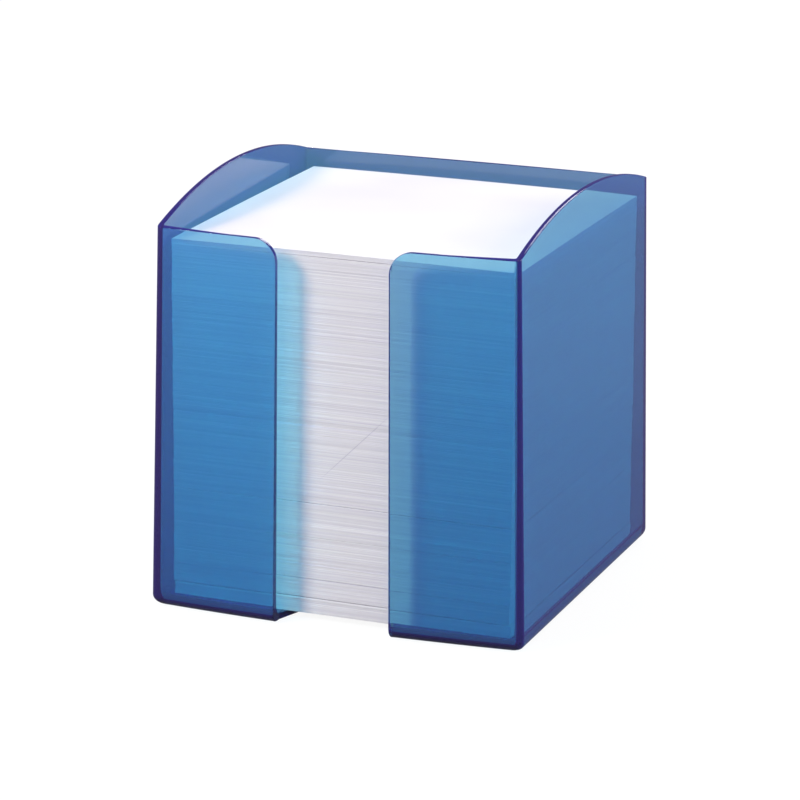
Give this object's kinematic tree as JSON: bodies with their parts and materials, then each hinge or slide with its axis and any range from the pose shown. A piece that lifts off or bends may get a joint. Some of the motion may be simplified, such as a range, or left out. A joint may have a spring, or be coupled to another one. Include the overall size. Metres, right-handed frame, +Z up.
{
  "type": "memo box",
  "caption": "Open-topped clear plastic memo box with arched side walls and a finger slot in its bowed front, filled with a stack of loose square notes.",
  "frame": {"origin": "middle of the box's foot, on the surface that it stands on", "axes": "+Z up, -Y out of the slotted front, +X to the right seen from the front"},
  "size_m": [0.1016, 0.1038, 0.106],
  "materials": {
    "clear_plastic": "polished, see-through blue",
    "paper": "uncoated white"
  },
  "bodies": {
    "box": {"box": "clear_plastic"},
    "stack": {"notes_01": "paper", "notes_02": "paper", "notes_03": "paper", "notes_04": "paper", "notes_05": "paper", "notes_06": "paper", "notes_07": "paper"},
    "top_note": {"top_note": "paper"}
  },
  "joints": [
    {"name": "stack_lift", "type": "slide", "parent": "box", "child": "stack", "axis": [0, 0, 1], "range_m": [0, 0.115]},
    {"name": "top_note_lift", "type": "slide", "parent": "stack", "child": "top_note", "axis": [0, 0, 1], "range_m": [0, 0.05]}
  ]
}
